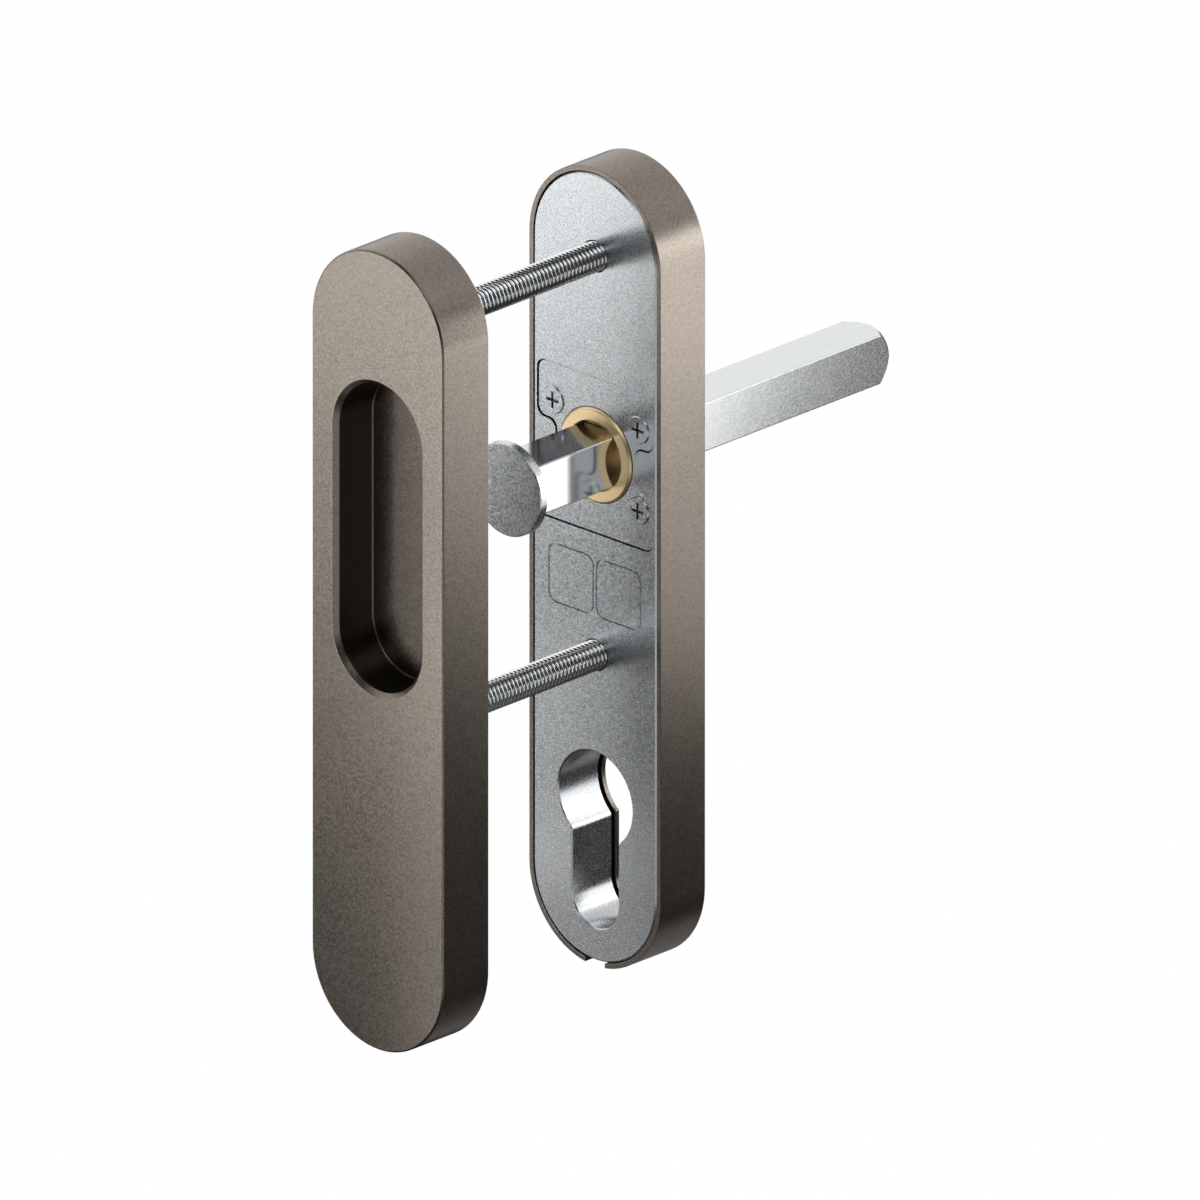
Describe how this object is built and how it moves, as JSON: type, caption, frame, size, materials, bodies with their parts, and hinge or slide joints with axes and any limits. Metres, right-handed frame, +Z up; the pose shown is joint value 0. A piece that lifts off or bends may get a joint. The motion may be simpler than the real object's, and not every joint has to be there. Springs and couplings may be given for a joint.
{
  "type": "lift-and-slide patio door plate set",
  "caption": "Lift-and-slide patio door fitting: outer plate with a sunk finger grip, inner plate with key cylinder cut-out, and a square spindle.",
  "frame": {"origin": "on the spindle's axis, in the inner plate's door face", "axes": "+X across the plates, +Y from the outer plate through the door to the room side, +Z up the door"},
  "size_m": [0.034, 0.1326, 0.16],
  "materials": {
    "cover_bronze": "fine matte metallic bronze",
    "carrier_steel": "galvanised",
    "post_steel": "turned, zinc plated",
    "fixing_screw_steel": "bright zinc plated",
    "screw_steel": "zinc plated",
    "base_zinc": "satin die-cast zinc",
    "rotor_brass": "turned brass",
    "spindle_steel": "bright ground steel",
    "spring_steel": "bright spring strip",
    "bush_polymer": "black sliding polymer"
  },
  "bodies": {
    "plates": {"outer_cover": "cover_bronze", "outer_carrier_plate": "carrier_steel", "carrier_screws": "screw_steel", "upper_threaded_post": "post_steel", "lower_threaded_post": "post_steel", "upper_fixing_screw": "fixing_screw_steel", "lower_fixing_screw": "fixing_screw_steel", "inner_cover": "cover_bronze", "inner_base_plate": "base_zinc", "bearing_plate": "base_zinc", "bearing_plate_screws": "screw_steel", "rotor_slide_ring": "bush_polymer", "lever_guide_bush": "bush_polymer", "upper_cover_spring": "spring_steel", "lower_cover_spring": "spring_steel"},
    "rotor": {"spindle_rotor": "rotor_brass"},
    "spindle": {"square_spindle": "spindle_steel"}
  },
  "joints": [
    {"name": "rotor_turn", "type": "hinge", "parent": "plates", "child": "rotor", "pos_m": [0, 0, 0], "axis": [0, 1, 0], "range_deg": [0, 180]},
    {"name": "spindle_slide", "type": "slide", "parent": "rotor", "child": "spindle", "axis": [0, 1, 0], "range_m": [-0.0218, 0.0215]}
  ]
}
